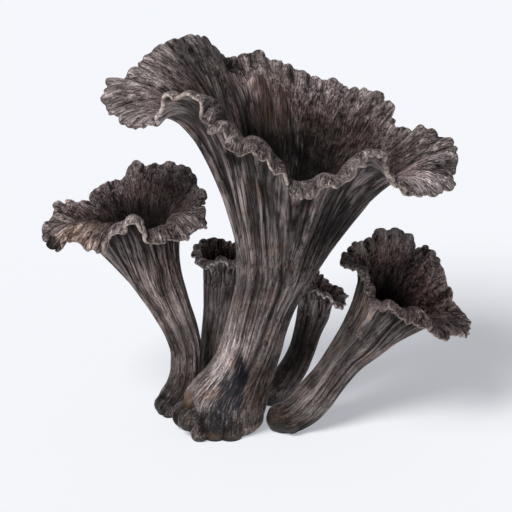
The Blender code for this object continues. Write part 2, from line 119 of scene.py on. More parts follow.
MAIN = Trumpet(
    name="large_trumpet",
    around=768,
    stem_rows=52,
    funnel_rows=60,
    stem=(
        (0.5, 0.0, 0.0, 8.6),
        (0.4, 0.0, 1.2, 9.8),
        (0.4, 0.0, 3.6, 10.2),
        (0.7, 0.0, 6.2, 10.6),
        (0.9, 0.0, 8.4, 10.8),
        (1.9, 0.0, 11.0, 10.4),
        (3.4, 0.1, 13.6, 9.6),
        (4.9, 0.2, 16.3, 8.8),
        (6.2, 0.3, 19.0, 8.1),
        (7.9, 0.4, 24.0, 7.8),
        (9.4, 0.6, 29.7, 7.8),
        (10.9, 0.8, 35.0, 8.2),
        (12.4, 1.0, 40.0, 9.1),
        (13.2, 1.1, 43.0, 9.9),
    ),
    level_to=16.0,
    flatness=0.12,
    mouth=(15.0, 2.0),
    handle=0.2,
    rim=(
        (58.0, 3.0, 72.0, -15, 14),
        (58.0, 10.0, 72.2, 5, 14),
        (54.5, 14.0, 74.0, 20, 14),
        (51.0, 18.0, 74.5, 30, 14),
        (47.0, 21.0, 73.5, 35, 12),
        (44.3, 24.5, 72.8, 30, 12),
        (43.8, 29.5, 76.8, 32, 12),
        (40.5, 33.0, 78.8, 32, 12),
        (34.5, 35.0, 79.0, 32, 12),
        (28.5, 36.0, 81.5, 32, 12),
        (22.5, 37.0, 82.0, 32, 12),
        (18.0, 37.0, 84.0, 32, 12),
        (14.5, 37.0, 86.0, 32, 12),
        (12.0, 37.0, 86.4, 32, 12),
        (9.0, 37.0, 89.2, 32, 12),
        (5.5, 36.0, 88.0, 32, 12),
        (1.5, 34.0, 88.0, 30, 12),
        (-1.5, 31.0, 89.5, 28, 12),
        (-2.5, 28.0, 92.5, 28, 14),
        (-5.0, 26.0, 95.0, 28, 14),
        (-8.0, 24.0, 96.5, 35, 16),
        (-12.0, 21.5, 95.8, 30, 17),
        (-15.5, 19.0, 95.2, 20, 20),
        (-19.0, 16.0, 92.9, 10, 22),
        (-22.3, 13.0, 91.0, 5, 23),
        (-24.2, 10.5, 86.6, 0, 24),
        (-27.3, 6.5, 89.2, -10, 24),
        (-28.0, 1.0, 89.0, -20, 24),
        (-28.0, -4.0, 88.0, -30, 24),
        (-25.5, -8.0, 86.0, -35, 23),
        (-22.0, -12.0, 85.0, -40, 21),
        (-18.5, -15.0, 85.5, -45, 18),
        (-15.5, -18.0, 88.0, -40, 18),
        (-13.5, -20.0, 92.0, -25, 15),
        (-11.5, -22.0, 95.5, -10, 12),
        (-8.5, -24.0, 96.5, -10, 11),
        (-6.0, -26.0, 96.0, -20, 14),
        (-4.5, -27.5, 92.5, -45, 18),
        (-2.5, -29.0, 88.5, -60, 14),
        (0.5, -30.0, 89.0, -55, 14),
        (4.0, -31.0, 85.0, -65, 14),
        (8.5, -32.0, 85.5, -55, 14),
        (11.5, -33.0, 82.0, -60, 14),
        (15.0, -33.5, 79.5, -65, 14),
        (17.0, -33.5, 75.5, -70, 14),
        (20.5, -33.0, 74.5, -70, 14),
        (24.5, -32.0, 77.0, -60, 11),
        (29.5, -30.0, 77.5, -60, 9),
        (32.5, -27.5, 80.0, -50, 9),
        (35.5, -25.0, 82.5, -35, 9),
        (38.5, -22.0, 79.5, -40, 13),
        (41.0, -19.0, 73.5, -50, 18),
        (45.0, -16.0, 69.5, -55, 18),
        (49.0, -12.0, 67.5, -50, 18),
        (53.5, -8.0, 67.5, -45, 18),
        (57.0, -3.0, 68.0, -35, 18),
    ),
    stem_wall=2.4,
    hollow_from=0.28,
    waves=((31, 0.65, 0.82), (59, 0.6, 0.87), (97, 0.25, 0.92)),
    scallops=((53, 0.7), (109, 0.6)),
    ridges=((11, 1, 1.7, 0.45), (27, 2, 1.1, 0.35), (57, 3, 0.55, 0.2), (113, 7, 0.3, 0.06)),
    knobs=(
        (-11.0, -5.6, 2.6, -5.2, 5.2),
        (-9.8, -1.4, 3.8, 3.3, 3.7),
        (-8.6, -5.6, 4.4, 2.8, 3.2),
        (-12.5, -4.2, 4.6, -1.4, 3.6),
        (-5.8, -8.0, 1.7, 2.4, 2.4),
        (-5.2, -10.4, 5.2, -2.0, 2.8),
        (-1.9, -6.9, 3.6, 3.2, 6.0),
        (2.0, -6.6, 1.2, 3.0, 4.4),
        (6.4, 5.4, 2.4, 3.6, 3.6),
        (-1.5, 7.6, 2.4, 3.6, 3.6),
        (-6.2, 5.2, 2.6, 3.1, 3.2),
    ),
    stains=(
        ((4.6, -8.5, 18.0), (2.6, 7.0, 5.8), (0.013, 0.015, 0.021), 1.0),
        ((1.6, -9.5, 12.0), (4.6, 7.0, 7.2), (0.017, 0.022, 0.036), 0.92),
        ((-1.6, -9.5, 5.5), (2.6, 6.0, 4.0), (0.010, 0.011, 0.015), 0.8),
        ((-9.6, -5.0, 3.0), (5.6, 5.0, 4.6), (0.024, 0.017, 0.012), 0.65),
        ((-1.0, -9.5, 0.5), (6.0, 4.0, 4.0), (0.026, 0.019, 0.014), 0.5),
        ((-9.4, -3.0, 9.2), (2.6, 3.5, 2.4), (0.260, 0.140, 0.075), 0.7),
        ((-2.0, -10.5, 1.4), (3.0, 3.0, 1.2), (0.200, 0.105, 0.040), 0.6),
        ((4.5, -9.0, 1.0), (4.0, 4.0, 1.6), (0.120, 0.055, 0.026), 0.6),
        ((8.6, -8.0, 1.4), (0.9, 3.0, 0.8), (0.300, 0.060, 0.035), 0.8),
        ((11.0, -8.0, 26.0), (0.9, 3.0, 1.3), (0.018, 0.013, 0.011), 0.9),
        # Painted shade where the stem meets the ground.
        ((0.0, -4.0, 0.0), (16.0, 14.0, 1.2), (0.014, 0.011, 0.009), 0.85),
        ((13.0, 27.0, 80.0), (5.5, 14.0, 8.5), (0.150, 0.078, 0.048), 0.32),
    ),
    # Painted light where the lobes and the low stem face the sun, painted shade in the throat, under the lip
    # and on the right flank; the last three give the foot its darker brown.
    painted_light_shade_and_tone=(
        ((-17.0, 2.0, 92.0), (9.0, 12.0, 9.0), (1.9, 1.92, 1.95)),
        ((8.0, -32.0, 85.0), (26.0, 6.0, 14.0), (0.70, 0.69, 0.69)),
        ((-8.0, 22.0, 93.0), (8.0, 8.0, 6.0), (0.42, 0.42, 0.44)),
        ((3.0, 28.0, 80.0), (7.0, 9.0, 9.0), (1.4, 1.3, 1.35)),
        ((24.0, 32.0, 79.0), (11.0, 10.0, 5.0), (1.6, 1.55, 1.6)),
        ((36.0, 20.0, 73.0), (8.0, 12.0, 6.0), (1.35, 1.3, 1.3)),
        ((12.0, 18.0, 66.0), (13.0, 14.0, 11.5), (0.07, 0.065, 0.06)),
        ((45.5, -1.5, 73.0), (9.0, 12.0, 8.0), (3.0, 3.0, 3.15)),
        ((56.0, -3.0, 71.0), (5.0, 7.0, 5.0), (0.60, 0.60, 0.60)),
        ((22.0, 18.0, 69.0), (12.0, 12.0, 9.0), (0.36, 0.34, 0.33)),
        ((-1.0, 8.0, 78.0), (6.5, 8.0, 8.0), (0.50, 0.48, 0.47)),
        ((-9.5, 12.0, 86.0), (5.0, 9.0, 7.0), (0.58, 0.57, 0.57)),
        ((22.0, -20.0, 70.0), (9.0, 8.0, 7.0), (0.62, 0.60, 0.60)),
        ((12.0, 27.0, 84.0), (12.0, 9.0, 7.0), (1.3, 1.3, 1.3)),
        ((27.0, -12.0, 57.0), (10.5, 14.0, 16.5), (0.07, 0.066, 0.066)),
        ((11.0, -10.0, 52.0), (9.0, 7.0, 14.0), (0.72, 0.70, 0.70)),
        ((0.6, -6.0, 19.0), (5.5, 6.0, 8.5), (3.6, 3.7, 3.8)),
        ((-9.6, -4.0, 3.5), (6.5, 6.5, 5.5), (0.11, 0.088, 0.072)),
        ((-1.0, -9.0, 2.0), (7.0, 5.0, 5.0), (0.18, 0.155, 0.14)),
        ((8.0, -8.0, 10.0), (6.5, 8.0, 12.0), (0.48, 0.41, 0.36)),
    ),
    pale_from=-16.0,
    seed=11,
)

LEFT = Trumpet(
    name="left_trumpet",
    around=512,
    stem_rows=40,
    funnel_rows=50,
    stem=(
        (-14.9, 7.6, 0.0, 2.1),
        (-14.7, 8.0, 1.4, 2.9),
        (-13.7, 8.7, 3.2, 3.4),
        (-11.5, 9.5, 6.2, 3.7),
        (-10.1, 10.0, 9.7, 3.9),
        (-9.7, 10.2, 13.5, 4.1),
        (-9.8, 10.4, 17.0, 4.1),
        (-11.0, 10.6, 22.0, 4.4),
        (-13.2, 10.8, 27.5, 5.0),
        (-15.6, 11.0, 33.0, 5.9),
    ),
    level_to=-20.0,
    flatness=0.0,
    mouth=(-22.5, 10.5),
    handle=0.42,
    rim=(
        (-4.0, 12.0, 56.0, -5, 7),
        (-4.0, 16.0, 58.0, 15, 7),
        (-6.5, 20.0, 58.0, 30, 7),
        (-7.0, 23.0, 60.5, 28, 7),
        (-10.0, 25.0, 62.0, 30, 7),
        (-14.0, 26.5, 62.0, 30, 7),
        (-19.0, 27.0, 61.0, 30, 7),
        (-23.0, 26.0, 62.0, 30, 7),
        (-25.5, 25.0, 58.5, 28, 7),
        (-29.0, 24.0, 58.0, 35, 7),
        (-33.0, 22.0, 57.0, 30, 7),
        (-34.5, 20.0, 54.5, 20, 7),
        (-38.5, 17.0, 54.5, 15, 7),
        (-42.5, 14.0, 55.5, 5, 7),
        (-43.0, 10.5, 53.0, 0, 7),
        (-45.0, 7.0, 52.0, -15, 7),
        (-44.0, 4.0, 49.5, -45, 16),
        (-40.5, 1.5, 47.5, -55, 18),
        (-39.0, 0.5, 50.0, -52, 18),
        (-36.0, -1.0, 50.0, -52, 18),
        (-32.0, -3.0, 49.5, -55, 18),
        (-28.5, -4.5, 50.5, -55, 17),
        (-27.5, -6.0, 54.5, -40, 12),
        (-24.0, -7.0, 56.5, -35, 10),
        (-21.5, -7.5, 58.5, -25, 9),
        (-20.0, -7.5, 57.0, -35, 10),
        (-18.0, -7.0, 53.2, -45, 10),
        (-15.0, -5.5, 53.6, -50, 9),
        (-12.5, -3.5, 53.0, -50, 11),
        (-8.5, -1.0, 52.0, -45, 14),
        (-7.5, 2.0, 53.5, -40, 14),
        (-4.5, 5.0, 53.0, -35, 14),
        (-4.0, 8.5, 55.5, -20, 10),
    ),
    stem_wall=1.6,
    hollow_from=0.35,
    waves=((17, 0.35, 0.72), (31, 0.45, 0.82), (61, 0.25, 0.9)),
    scallops=((25, 0.8), (57, 0.5)),
    ridges=((7, 1, 1.1, 0.45), (19, 2, 0.8, 0.35), (43, 3, 0.36, 0.2), (83, 6, 0.18, 0.1)),
    knobs=(
        (-15.8, 7.2, 2.6, 2.2, 2.4),
        (-14.0, 5.9, 1.6, 1.8, 2.2),
        (-12.2, 6.6, 1.2, 1.5, 1.8),
        (-15.6, 4.6, 2.6, -0.9, 2.0),
    ),
    stains=(
        ((-12.0, 6.0, 9.0), (5.0, 6.0, 4.0), (0.070, 0.038, 0.028), 0.4),
        # Painted shade where the stem meets the ground.
        ((-15.0, 8.0, 0.0), (7.0, 7.0, 1.2), (0.014, 0.011, 0.009), 0.8),
        ((-44.0, 3.0, 48.5), (3.6, 6.0, 4.0), (0.012, 0.010, 0.010), 0.95),
    ),
    # Painted light and shade on the stem, lip and throat; the second gives the foot its darker brown.
    painted_light_shade_and_tone=(
        ((-15.0, 7.0, 36.0), (8.0, 7.0, 12.0), (2.1, 2.0, 1.95)),
        ((-15.0, 7.0, 2.5), (6.5, 5.5, 6.0), (0.08, 0.068, 0.066)),
        ((-29.0, 18.0, 56.0), (9.0, 9.0, 6.0), (1.9, 1.85, 1.95)),
        ((-11.0, 23.0, 58.0), (8.0, 8.0, 7.0), (0.46, 0.45, 0.45)),
        ((-23.5, 16.5, 51.5), (8.5, 9.0, 5.5), (0.14, 0.125, 0.12)),
        ((-37.0, 12.0, 54.5), (7.0, 7.0, 5.0), (1.5, 1.45, 1.45)),
        ((-36.0, 1.0, 52.0), (9.0, 6.0, 4.0), (1.3, 1.12, 0.98)),
        ((-17.0, -1.0, 49.0), (7.0, 6.0, 5.0), (0.82, 0.81, 0.81)),
    ),
    pale_from=-43.0,
    seed=23,
)

RIGHT = Trumpet(
    name="right_trumpet",
    around=512,
    stem_rows=40,
    funnel_rows=50,
    stem=(
        (11.2, -2.6, 2.9, 0.7),
        (11.8, -2.5, 2.9, 2.2),
        (13.4, -2.3, 3.0, 3.5),
        (16.3, -2.2, 3.5, 4.4),
        (20.0, -1.6, 5.4, 4.9),
        (23.5, -1.0, 9.0, 5.0),
        (27.5, 0.0, 14.0, 4.7),
        (31.6, 1.0, 19.6, 5.3),
        (35.0, 1.6, 23.6, 6.4),
    ),
    level_to=-20.0,
    flatness=0.0,
    mouth=(45.0, 3.0),
    handle=0.36,
    rim=(
        (63.5, 1.0, 27.5, -15, 8),
        (62.0, 5.0, 28.5, 0, 8),
        (59.7, 8.0, 30.0, 20, 8),
        (59.0, 11.0, 32.2, 30, 8),
        (57.0, 14.0, 35.6, 30, 8),
        (55.4, 16.0, 39.6, 32, 8),
        (53.5, 17.5, 42.0, 34, 8),
        (49.5, 18.0, 42.5, 34, 8),
        (47.5, 18.5, 46.0, 34, 8),
        (43.5, 18.5, 46.5, 32, 8),
        (40.5, 18.0, 46.0, 30, 8),
        (37.0, 16.5, 44.2, 35, 7),
        (33.5, 14.0, 44.5, 20, 6),
        (31.0, 11.0, 43.0, 5, 6),
        (30.0, 7.5, 42.5, -20, 8),
        (31.0, 4.0, 42.0, -35, 9),
        (34.0, 0.0, 42.0, -45, 7),
        (35.0, -3.0, 40.5, -55, 6),
        (36.5, -6.0, 39.0, -55, 6),
        (37.5, -8.5, 37.0, -60, 6),
        (39.5, -10.5, 36.0, -60, 7),
        (42.5, -11.5, 36.5, -55, 8),
        (44.5, -12.5, 34.0, -60, 9),
        (47.5, -12.5, 33.0, -60, 10),
        (50.0, -12.0, 33.0, -55, 11),
        (52.0, -10.5, 30.5, -60, 12),
        (55.5, -8.5, 27.5, -60, 12),
        (59.0, -5.5, 27.5, -50, 12),
        (61.5, -3.0, 26.0, -40, 12),
    ),
    stem_wall=1.6,
    hollow_from=0.35,
    waves=((17, 0.35, 0.72), (29, 0.5, 0.8), (59, 0.25, 0.9)),
    scallops=((25, 0.8), (55, 0.5)),
    ridges=((7, 1, 1.1, 0.45), (19, 2, 0.8, 0.35), (43, 3, 0.36, 0.2), (83, 6, 0.18, 0.1)),
    knobs=(
        (14.4, -3.4, 4.3, 2.7, 2.7),
        (17.6, -5.0, 2.6, 2.4, 2.4),
    ),
    stains=(
        ((15.0, -5.0, 2.0), (8.0, 6.0, 4.6), (0.024, 0.017, 0.012), 0.75),
        ((13.5, -5.0, 5.5), (3.0, 4.0, 2.2), (0.120, 0.070, 0.030), 0.5),
        # Painted shade where the stem meets the ground.
        ((17.0, -2.0, 0.0), (9.0, 7.0, 1.2), (0.014, 0.011, 0.009), 0.8),
    ),
    # The first gives the foot its darker brown; the rest are painted light and shade on the lip and in the
    # funnel.
    painted_light_shade_and_tone=(
        ((15.0, -4.5, 2.0), (10.0, 7.0, 6.5), (0.11, 0.088, 0.068)),
        ((55.0, 9.0, 34.0), (7.0, 9.0, 8.0), (1.9, 1.75, 1.7)),
        ((38.0, 13.0, 42.5), (8.0, 8.0, 5.0), (2.1, 2.0, 1.95)),
        ((51.0, 3.0, 32.0), (6.0, 7.0, 5.0), (1.8, 1.7, 1.7)),
        ((50.0, -7.0, 29.0), (8.0, 6.0, 5.0), (0.60, 0.58, 0.57)),
        ((40.0, -9.0, 38.0), (9.0, 5.0, 5.0), (0.62, 0.58, 0.58)),
        ((46.0, -14.0, 35.0), (9.0, 4.0, 4.0), (0.62, 0.56, 0.55)),
        ((47.0, 12.0, 39.0), (8.0, 8.0, 6.0), (1.5, 1.45, 1.45)),
        ((37.0, -4.5, 29.5), (9.0, 6.0, 6.5), (0.60, 0.60, 0.62)),
    ),
    pale_from=20.0,
    seed=37,
)

BACK_LEFT = Trumpet(
    name="back_left_trumpet",
    around=256,
    stem_rows=28,
    funnel_rows=30,
    stem=(
        (-4.0, 15.6, 0.0, 2.6),
        (-3.9, 15.8, 1.6, 3.4),
        (-3.1, 17.0, 8.0, 3.6),
        (-2.2, 18.0, 16.0, 3.8),
        (-1.4, 19.0, 24.0, 3.9),
        (-0.9, 20.0, 31.0, 4.4),
    ),
    level_to=-20.0,
    flatness=0.0,
    mouth=(-0.5, 20.5),
    handle=0.15,
    rim=(
        (6.0, 20.5, 39.5, 0, 3),
        (4.5, 25.0, 39.5, 25, 3),
        (0.0, 27.0, 40.5, 35, 3),
        (-4.0, 26.5, 41.5, 30, 3),
        (-7.0, 24.0, 41.0, 15, 3),
        (-8.0, 20.5, 40.0, -10, 3),
        (-7.0, 16.5, 38.0, -40, 5),
        (-4.0, 14.0, 37.5, -50, 5),
        (-0.5, 13.5, 39.5, -40, 5),
        (3.0, 14.0, 37.5, -50, 5),
        (5.5, 16.5, 38.0, -35, 5),
    ),
    stem_wall=1.2,
    hollow_from=0.4,
    waves=((13, 0.35, 0.7), (23, 0.2, 0.8)),
    scallops=((13, 0.4), (23, 0.5)),
    ridges=((6, 1, 0.5, 0.5), (15, 2, 0.4, 0.4), (31, 3, 0.22, 0.2), (61, 5, 0.12, 0.1)),
    knobs=(),
    stains=(
        # Painted shade where the stem meets the ground.
        ((-4.0, 16.0, 0.0), (7.0, 7.0, 4.0), (0.014, 0.011, 0.009), 0.8),
    ),
    # Painted light on the lip and stem, which stand in the large trumpet's shadow.
    painted_light_shade_and_tone=(
        ((0.0, 22.0, 41.0), (10.0, 9.0, 5.0), (5.2, 5.4, 5.5)),
        ((-2.0, 17.0, 28.0), (8.0, 8.0, 13.0), (1.5, 1.5, 1.5)),
    ),
    pale_from=60.0,
    seed=41,
)

BACK_RIGHT = Trumpet(
    name="back_right_trumpet",
    around=256,
    stem_rows=28,
    funnel_rows=30,
    stem=(
        (12.4, 14.0, 0.0, 2.6),
        (13.2, 14.2, 1.8, 3.4),
        (16.2, 15.0, 6.0, 3.7),
        (18.9, 16.0, 10.0, 3.6),
        (20.8, 17.0, 14.5, 3.5),
        (22.0, 17.5, 19.0, 3.7),
        (23.3, 18.0, 23.5, 4.4),
    ),
    level_to=-20.0,
    flatness=0.0,
    mouth=(24.5, 18.0),
    handle=0.15,
    rim=(
        (32.0, 17.0, 28.0, -20, 4),
        (31.0, 20.5, 29.0, 5, 3),
        (28.0, 23.5, 30.0, 25, 3),
        (25.0, 25.5, 32.5, 35, 3),
        (21.0, 25.0, 33.5, 30, 3),
        (18.0, 21.5, 34.0, 15, 3),
        (17.0, 17.0, 33.5, -10, 3),
        (19.5, 13.0, 33.0, -30, 4),
        (23.5, 11.0, 32.0, -45, 5),
        (27.0, 11.5, 30.0, -50, 5),
        (30.0, 13.5, 26.5, -50, 5),
    ),
    stem_wall=1.2,
    hollow_from=0.4,
    waves=((13, 0.35, 0.7), (23, 0.2, 0.8)),
    scallops=((13, 0.4), (23, 0.5)),
    ridges=((6, 1, 0.5, 0.5), (15, 2, 0.4, 0.4), (31, 3, 0.22, 0.2), (61, 5, 0.12, 0.1)),
    knobs=(),
    stains=(
        # Painted shade where the stem meets the ground.
        ((13.0, 14.0, 0.0), (8.0, 7.0, 4.0), (0.014, 0.011, 0.009), 0.8),
    ),
    # Painted light on the lip, which stands in the large trumpet's shadow, and painted shade on the stem.
    painted_light_shade_and_tone=(
        ((26.0, 18.0, 30.5), (9.0, 9.0, 5.0), (5.2, 5.4, 5.5)),
        ((18.0, 14.0, 14.0), (8.0, 6.0, 9.0), (0.66, 0.65, 0.65)),
    ),
    pale_from=60.0,
    seed=53,
)

TRUMPETS = (MAIN, LEFT, RIGHT, BACK_LEFT, BACK_RIGHT)


def smooth_step(x):
    """0 below 0, 1 above 1, and smooth between."""
    x = np.clip(x, 0.0, 1.0)
    return x * x * (3 - 2 * x)


def unit(v):
    return v / np.maximum(np.linalg.norm(v, axis=-1, keepdims=True), 1e-9)


def spline(knots, values, at):
    """A smooth curve through values at knots, read at each place in at."""
    steps = np.diff(knots)[:, None]
    slopes = np.diff(values, axis=0) / steps
    inner = (slopes[1:] * steps[:-1] + slopes[:-1] * steps[1:]) / (steps[1:] + steps[:-1])
    slopes = np.concatenate([slopes[:1], inner, slopes[-1:]])
    k = np.clip(np.searchsorted(knots, at, side="right") - 1, 0, len(knots) - 2)
    step = steps[k]
    t = ((at - knots[k]) / step[:, 0])[:, None]
    return (
        values[k] * (1 + 2 * t) * (1 - t) ** 2
        + slopes[k] * step * t * (1 - t) ** 2
        + values[k + 1] * t * t * (3 - 2 * t)
        + slopes[k + 1] * step * t * t * (t - 1)
    )


def rim_knots(stations, turn):
    """Where each station stands along the rim, from 0 to 1: half by the rim's length, half by the turn."""
    loop = np.concatenate([stations, stations[:1]])[:, :3]
    lengths = np.concatenate([[0.0], np.cumsum(np.linalg.norm(np.diff(loop, axis=0), axis=1))])
    turns = np.concatenate([turn, turn[:1] + 2 * math.pi]) - turn[0]
    return 0.5 * lengths / lengths[-1] + 0.5 * turns / turns[-1]


def rim_at(trumpet, u):
    """Place, droop, lip length and azimuth of the rim at each u, which runs from 0 to 1 round the rim."""
    stations = np.array(trumpet.rim, float)
    x, y = (stations[:, :2] - trumpet.mouth).T
    turn = np.unwrap(np.arctan2(y, x))
    knots = rim_knots(stations, turn)
    table = np.column_stack([stations, np.cos(turn), np.sin(turn)])
    ends = 3
    knots = np.concatenate([knots[-ends - 1 : -1] - 1, knots, knots[1 : ends + 1] + 1])
    table = np.concatenate([table[-ends:], table, table[: ends + 1]])
    read = spline(knots, table, u % 1.0)
    return read[:, :3], np.radians(read[:, 3]), read[:, 4], np.arctan2(read[:, 6], read[:, 5])


def knobbed(trumpet, centre, radius, direction):
    """How far the foot reaches that way from the stem's axis, with its knobs added and its hollows cut."""
    for x, y, z, size, height in trumpet.knobs:
        squeeze = np.array([1.0, 1.0, abs(size) / height])
        away, way = (np.array([x, y, z]) - centre) * squeeze, direction * squeeze
        along = np.sum(away * way, axis=1)
        slope = np.sum(way * way, axis=1)
        half = np.sqrt(np.maximum(along**2 - slope * (np.sum(away**2, axis=1) - size**2), 0.0))
        reach = (along + math.copysign(1, size) * half) / slope
        beyond = (reach - radius) * size > 0
        radius = np.where((along > 0) & (half > 0) & beyond, reach, radius)
    return radius


def stem_at(trumpet, azimuth, s):
    """Points of the stem's skin at each azimuth and each share s of its height."""
    stations = np.array(trumpet.stem, float)
    lengths = np.linalg.norm(np.diff(stations[:, :3], axis=0), axis=1)
    knots = np.concatenate([[0.0], np.cumsum(lengths)]) / lengths.sum()
    small = 0.02
    here = spline(knots, stations, s)
    ahead = spline(knots, stations, np.minimum(s + small, 1.0))
    behind = spline(knots, stations, np.maximum(s - small, 0.0))
    level = 1 - smooth_step((here[:, 2:3] - trumpet.level_to) / 14.0)
    axis = unit(unit(ahead[:, :3] - behind[:, :3]) * (1 - level) + level * np.array([0.0, 0.0, 1.0]))
    across = unit(np.array([0.0, 1.0, 0.0]) - axis[:, 1:2] * axis)
    aside = np.cross(across, axis)
    direction = np.cos(azimuth)[:, None] * aside + np.sin(azimuth)[:, None] * across
    radius = here[:, 3] * (1 - trumpet.flatness * level[:, 0] * np.sin(azimuth) ** 2)
    radius = knobbed(trumpet, here[:, :3], radius, direction)
    return here[:, :3] + radius[:, None] * direction


def skin_at(trumpet, u, v):
    """Points of the smooth outer skin: u runs round the rim, v from the foot to the rim."""
    edge, droop, lip, azimuth = rim_at(trumpet, u)
    stem = stem_at(trumpet, azimuth, np.clip(v / STEM_SHARE, 0.0, 1.0))
    top = stem_at(trumpet, azimuth, np.ones_like(v))
    below = stem_at(trumpet, azimuth, np.full_like(v, 0.97))
    rise = unit(top - below)
    outward = np.column_stack([np.cos(azimuth), np.sin(azimuth), np.zeros_like(azimuth)])
    end = np.cos(droop)[:, None] * outward
    end[:, 2] += np.sin(droop)
    reach = np.linalg.norm(edge - top, axis=1, keepdims=True)
    t = np.clip((v - STEM_SHARE) / (1 - STEM_SHARE), 0.0, 1.0)[:, None]
    funnel = (
        (1 - t) ** 3 * top
        + 3 * (1 - t) ** 2 * t * (top + trumpet.handle * reach * rise)
        + 3 * (1 - t) * t**2 * (edge - lip[:, None] * end)
        + t**3 * edge
    )
    return np.where((v < STEM_SHARE)[:, None], stem, funnel)


def noise(u, v, around, along, seed):
    """Smooth random heights from -1 to 1, with that many cells round the trumpet and from foot to rim."""
    table = np.random.default_rng(seed).uniform(-1.0, 1.0, (along + 2, around))
    x, y = (u % 1.0) * around, np.clip(v, 0.0, 1.0) * along
    i, j = np.floor(x).astype(int), np.floor(y).astype(int)
    fx, fy = smooth_step(x - i), smooth_step(y - j)
    i, k = i % around, (i + 1) % around
    low = table[j, i] * (1 - fx) + table[j, k] * fx
    high = table[j + 1, i] * (1 - fx) + table[j + 1, k] * fx
    return low * (1 - fy) + high * fy


def wave_height(trumpet, u, v):
    """How far the lip's waves stand out of the smooth skin."""
    total = np.zeros_like(u)
    for k, (count, height, start) in enumerate(trumpet.waves):
        seed = trumpet.seed + 10 * k
        bent = u + 0.3 / count * noise(u, v, count // 3, 1, seed)
        swell = 0.35 + 0.65 * np.abs(noise(u, v * 0, count // 2, 1, seed + 1)) * 1.6
        swell *= 1 - 0.4 * smooth_step(1.6 * np.sin(2 * math.pi * u))
        growth = smooth_step((v - start) / (1 - start)) ** 1.3
        total += height * swell * np.sin(2 * math.pi * count * bent) * growth
    return total


def scallop_reach(trumpet, u, v):
    """How far the rim's small lobes reach beyond its smooth line."""
    total = np.zeros_like(u)
    for k, (count, depth) in enumerate(trumpet.scallops):
        seed = trumpet.seed + 100 + 10 * k
        bent = u + 0.5 / count * noise(u, v * 0, count // 2, 1, seed)
        lobe = np.abs(np.sin(math.pi * count * bent)) ** 0.6
        size = 0.1 + 0.9 * np.abs(noise(u, v * 0, count // 2, 1, seed + 1)) * 2.2
        total += depth * size * (lobe - 0.75)
    count, depth = trumpet.scallops[0]
    total += 1.1 * depth * noise(u, v * 0, count // 2, 1, trumpet.seed + 150)
    total += 0.5 * depth * noise(u, v * 0, count * 3 // 2, 1, trumpet.seed + 151)
    total -= RIM_DRAWN_BACK
    return total * smooth_step((v - 0.88) / 0.12)


def ridge_height(trumpet, u, v):
    """Height of the ridges that run up the outside, in mm, and how far up the widest and the finer ones a
    point is, from 0 in a groove to 1 on a crest."""
    drift = 0.012 * noise(u, v, 9, 5, trumpet.seed + 200) + 0.003 * noise(u, v, 29, 14, trumpet.seed + 201)
    lip = 1 - 0.75 * smooth_step((v - 0.8) / 0.18)
    total, crests = np.zeros_like(u), []
    for k, (around, along, height, full) in enumerate(trumpet.ridges):
        crest = np.abs(noise(u + drift, v, around, along, trumpet.seed + 210 + k)) ** 0.5
        fade = smooth_step(v / full) * lip
        total += height * (crest - 0.65) * fade
        crests.append(crest * fade + 0.7 * (1 - fade))
    fine = np.average(crests[1:], axis=0, weights=[ridge[2] for ridge in trumpet.ridges[1:]])
    return total, crests[0], fine


def scale_height(trumpet, u, v):
    """Height of the folds and scales of the inside."""
    folds = noise(u, v, 36, 3, trumpet.seed + 300) * 0.35 + noise(u, v, 85, 8, trumpet.seed + 301) * 0.18
    scales = noise(u, v, 210, 80, trumpet.seed + 302) * 0.12
    return (folds + scales) * (0.35 + 0.65 * smooth_step((v - 0.5) / 0.3))


def grid_normals(grid):
    """Outward normals of a grid of rings, rows from foot to rim, that closes on itself round each ring."""
    around = np.roll(grid, -1, axis=1) - np.roll(grid, 1, axis=1)
    along = np.gradient(grid, axis=0)
    return unit(np.cross(around, along))


def hollowness(grid):
    """How deep each point of a grid lies between its neighbours: 0.5 where it is flat, more in a hollow."""
    normals = grid_normals(grid)
    total = np.full(grid.shape[:2], 0.5)
    for reach, weight in ((1, 0.8), (3, 1.0), (8, 0.8)):
        padded = np.pad(grid, ((reach, reach), (0, 0), (0, 0)), mode="edge")
        left, right = np.roll(grid, reach, axis=1), np.roll(grid, -reach, axis=1)
        middle = (padded[2 * reach :] + padded[: -2 * reach] + left + right) / 4
        lift = np.sum((middle - grid) * normals, axis=2)
        total += weight * lift / np.linalg.norm(right - left, axis=2)
    return np.clip(total, 0.0, 1.0)


def row_places(trumpet):
    """v of each ring: the rows close up towards the ground and towards the lip."""
    stem = STEM_SHARE * np.linspace(0.0, 1.0, trumpet.stem_rows, endpoint=False) ** 1.25
    t = np.linspace(0.0, 1.0, trumpet.funnel_rows)
    return np.concatenate([stem, STEM_SHARE + (1 - STEM_SHARE) * (1 - (1 - t) ** 1.2)])


